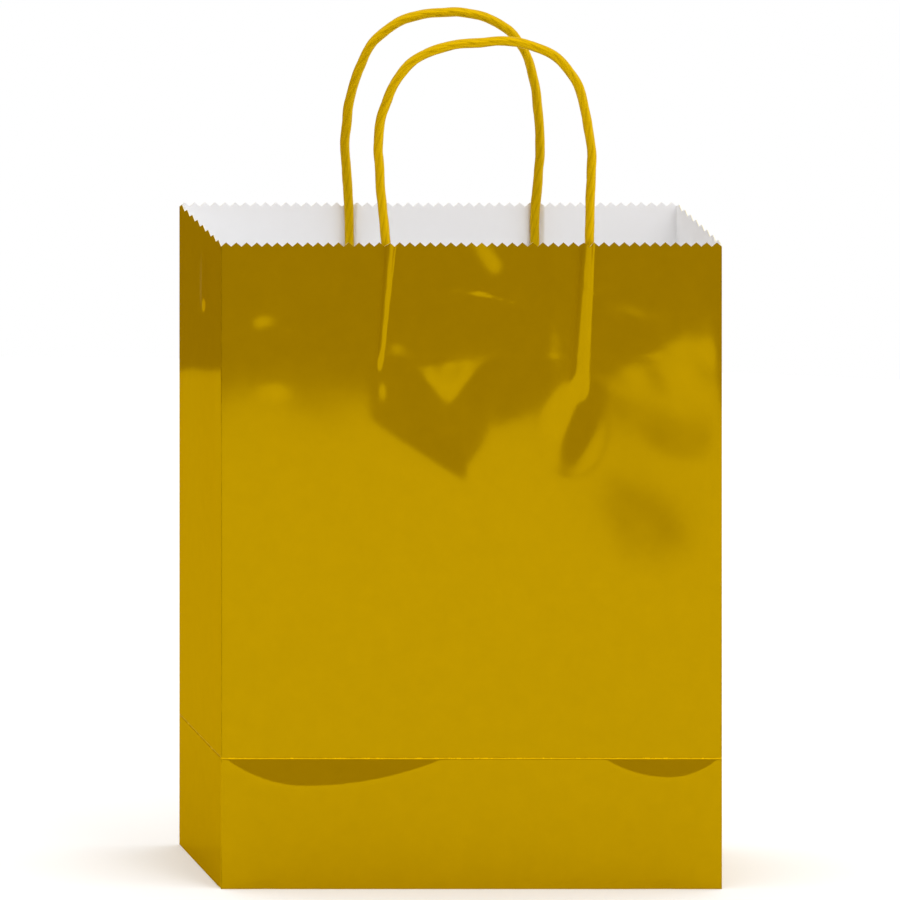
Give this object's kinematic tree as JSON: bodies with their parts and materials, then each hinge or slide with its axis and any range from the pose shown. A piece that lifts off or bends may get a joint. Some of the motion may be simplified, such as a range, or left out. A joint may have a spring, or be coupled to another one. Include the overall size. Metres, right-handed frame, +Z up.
{
  "type": "paper gift bag",
  "caption": "Gusseted paper gift bag with pinked rim, block bottom and twisted-paper cord handles that fold over; the bag folds flat along its creases.",
  "frame": {"origin": "centre of the bag's underside, on the surface it stands on", "axes": "+Z up along the bag's height, -Y out of the front wall, +X to the right seen from the front"},
  "size_m": [0.203, 0.106, 0.3467],
  "materials": {
    "gold_paper": "glossy laminated gold-yellow paper, softly creased",
    "white_paper": "matt uncoated white paper",
    "gold_cord": "twisted paper cord, dyed gold-yellow, satin"
  },
  "bodies": {
    "front": {"front_panel": "gold_paper", "side_seam_lap": "white_paper", "front_patch_backing": "white_paper", "front_patch_cover": "white_paper", "front_cord_left_leg": "gold_cord", "front_cord_right_leg": "gold_cord"},
    "left_front_gusset": {"left_gusset_front_half": "gold_paper"},
    "left_back_gusset": {"left_gusset_back_half": "gold_paper"},
    "right_front_gusset": {"right_gusset_front_half": "gold_paper"},
    "right_back_gusset": {"right_gusset_back_half": "gold_paper"},
    "back": {"back_panel": "gold_paper", "back_foot_panel": "gold_paper", "back_patch_backing": "white_paper", "back_patch_cover": "white_paper", "back_cord_left_leg": "gold_cord", "back_cord_right_leg": "gold_cord"},
    "foot": {"front_foot_panel": "gold_paper"},
    "base": {"base_front_flap": "gold_paper", "base_back_flap": "gold_paper", "base_left_tuck": "gold_paper", "base_right_tuck": "gold_paper", "left_gusset_foot_web": "gold_paper", "right_gusset_foot_web": "gold_paper"},
    "front_handle": {"front_handle": "gold_cord"},
    "back_handle": {"back_handle": "gold_cord"}
  },
  "joints": [
    {"name": "fold_flat", "type": "hinge", "parent": "front", "child": "left_front_gusset", "pos_m": [-0.1011, -0.0526, 0.157], "axis": [0, 0, -1], "range_deg": [0, 83]},
    {"name": "left_middle_crease", "type": "hinge", "parent": "left_front_gusset", "child": "left_back_gusset", "pos_m": [-0.1016, 0, 0.157], "axis": [0, 0, 1], "range_deg": [0, 166]},
    {"name": "left_back_crease", "type": "hinge", "parent": "left_back_gusset", "child": "back", "pos_m": [-0.1011, 0.0526, 0.157], "axis": [0, 0, -1], "range_deg": [0, 83]},
    {"name": "right_front_crease", "type": "hinge", "parent": "front", "child": "right_front_gusset", "pos_m": [0.1011, -0.0526, 0.157], "axis": [0, 0, 1], "range_deg": [0, 83]},
    {"name": "right_middle_crease", "type": "hinge", "parent": "right_front_gusset", "child": "right_back_gusset", "pos_m": [0.1016, 0, 0.157], "axis": [0, 0, -1], "range_deg": [0, 166]},
    {"name": "front_foot_crease", "type": "hinge", "parent": "front", "child": "foot", "pos_m": [0, -0.0531, 0.053], "axis": [-1, 0, 0], "range_deg": [0, 166]},
    {"name": "base_crease", "type": "hinge", "parent": "foot", "child": "base", "pos_m": [0, -0.0525, 0.0017], "axis": [1, 0, 0], "range_deg": [0, 90], "deforming": ["left_gusset_foot_web", "right_gusset_foot_web"]},
    {"name": "front_handle_bend", "type": "hinge", "parent": "front", "child": "front_handle", "pos_m": [0, -0.04985, 0.2645], "axis": [-1, 0, 0], "range_deg": [-90, 38]},
    {"name": "back_handle_bend", "type": "hinge", "parent": "back", "child": "back_handle", "pos_m": [0, 0.04985, 0.2645], "axis": [1, 0, 0], "range_deg": [-90, 38]}
  ],
  "couplings": [
    {"joint": "left_middle_crease", "follows": "fold_flat", "ratio": 2},
    {"joint": "left_back_crease", "follows": "fold_flat", "ratio": 1},
    {"joint": "right_front_crease", "follows": "fold_flat", "ratio": 1},
    {"joint": "right_middle_crease", "follows": "fold_flat", "ratio": 2},
    {"joint": "front_foot_crease", "follows": "fold_flat", "ratio": 1.988},
    {"joint": "base_crease", "follows": "fold_flat", "ratio": 1.0795}
  ]
}
